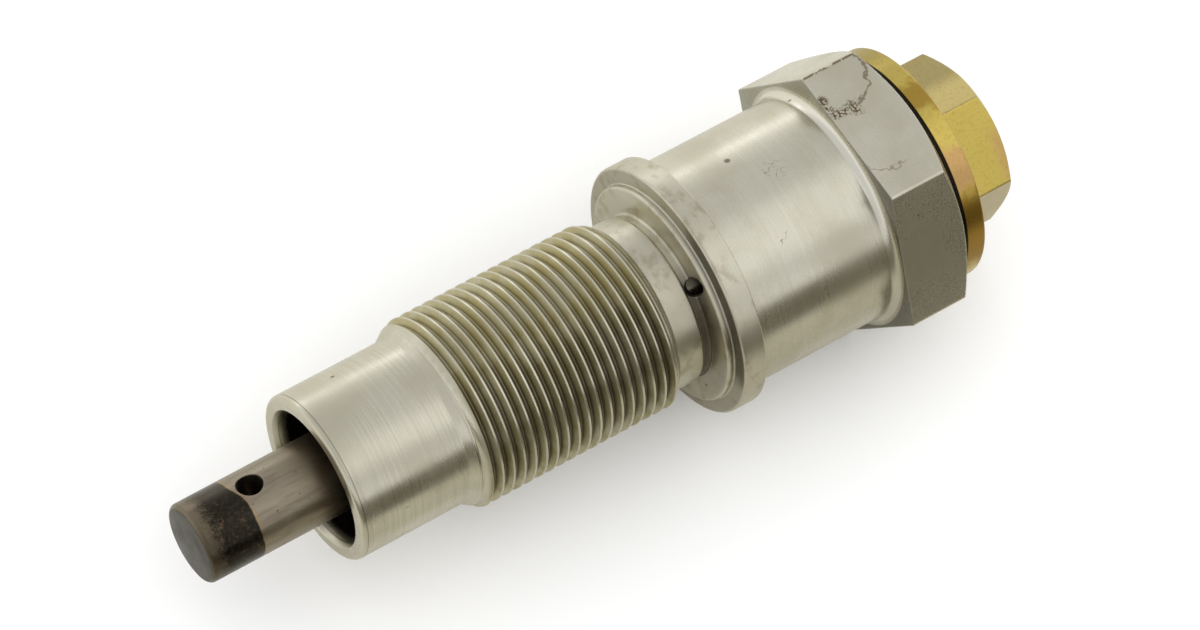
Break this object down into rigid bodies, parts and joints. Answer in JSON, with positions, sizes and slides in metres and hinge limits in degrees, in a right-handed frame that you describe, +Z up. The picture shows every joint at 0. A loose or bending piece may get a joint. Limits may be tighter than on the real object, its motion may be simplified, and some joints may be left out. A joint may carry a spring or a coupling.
{
  "type": "timing chain tensioner",
  "caption": "Hydraulic timing chain tensioner: threaded steel housing with hexagon and flange, yellow closing plug and a sprung plunger with a cross hole.",
  "frame": {"origin": "middle of the part's length and width, on the surface it lies on", "axes": "+X along the axis from the closing plug to the plunger tip, +Z up, square to the flat of the large hexagon that faces up"},
  "size_m": [0.1084, 0.037, 0.032],
  "materials": {
    "plated_steel": "satin nickel-grey plating over turned steel",
    "yellow_chromate": "yellow chromate over zinc, iridescent",
    "seal_copper": "plain copper",
    "ground_steel": "ground",
    "nitrile_rubber": "matte",
    "spring_steel": "oiled spring steel",
    "pressed_steel": "as pressed",
    "plunger_steel": "ground, with a dark heat-tinted band"
  },
  "bodies": {
    "housing": {"housing": "plated_steel", "closing_plug": "yellow_chromate", "plug_seal_ring": "seal_copper", "pressure_sleeve": "ground_steel", "sleeve_o_ring": "nitrile_rubber", "stop_ring": "spring_steel", "valve_disc": "ground_steel", "valve_cage": "pressed_steel", "valve_spring": "spring_steel", "filler_pin": "pressed_steel", "main_spring": "spring_steel"},
    "plunger": {"plunger": "plunger_steel"},
    "valve_ball": {"valve_ball": "ground_steel"}
  },
  "joints": [
    {"name": "plunger_slide", "type": "slide", "parent": "housing", "child": "plunger", "axis": [1, 0, 0], "range_m": [-0.014, 0], "stiffness_N_per_m": 3000, "springref_m": 0.015, "deforming": ["main_spring"]},
    {"name": "valve_ball_lift", "type": "slide", "parent": "housing", "child": "valve_ball", "axis": [1, 0, 0], "range_m": [0, 0.0012], "stiffness_N_per_m": 60, "springref_m": -0.001, "deforming": ["valve_spring"]}
  ]
}
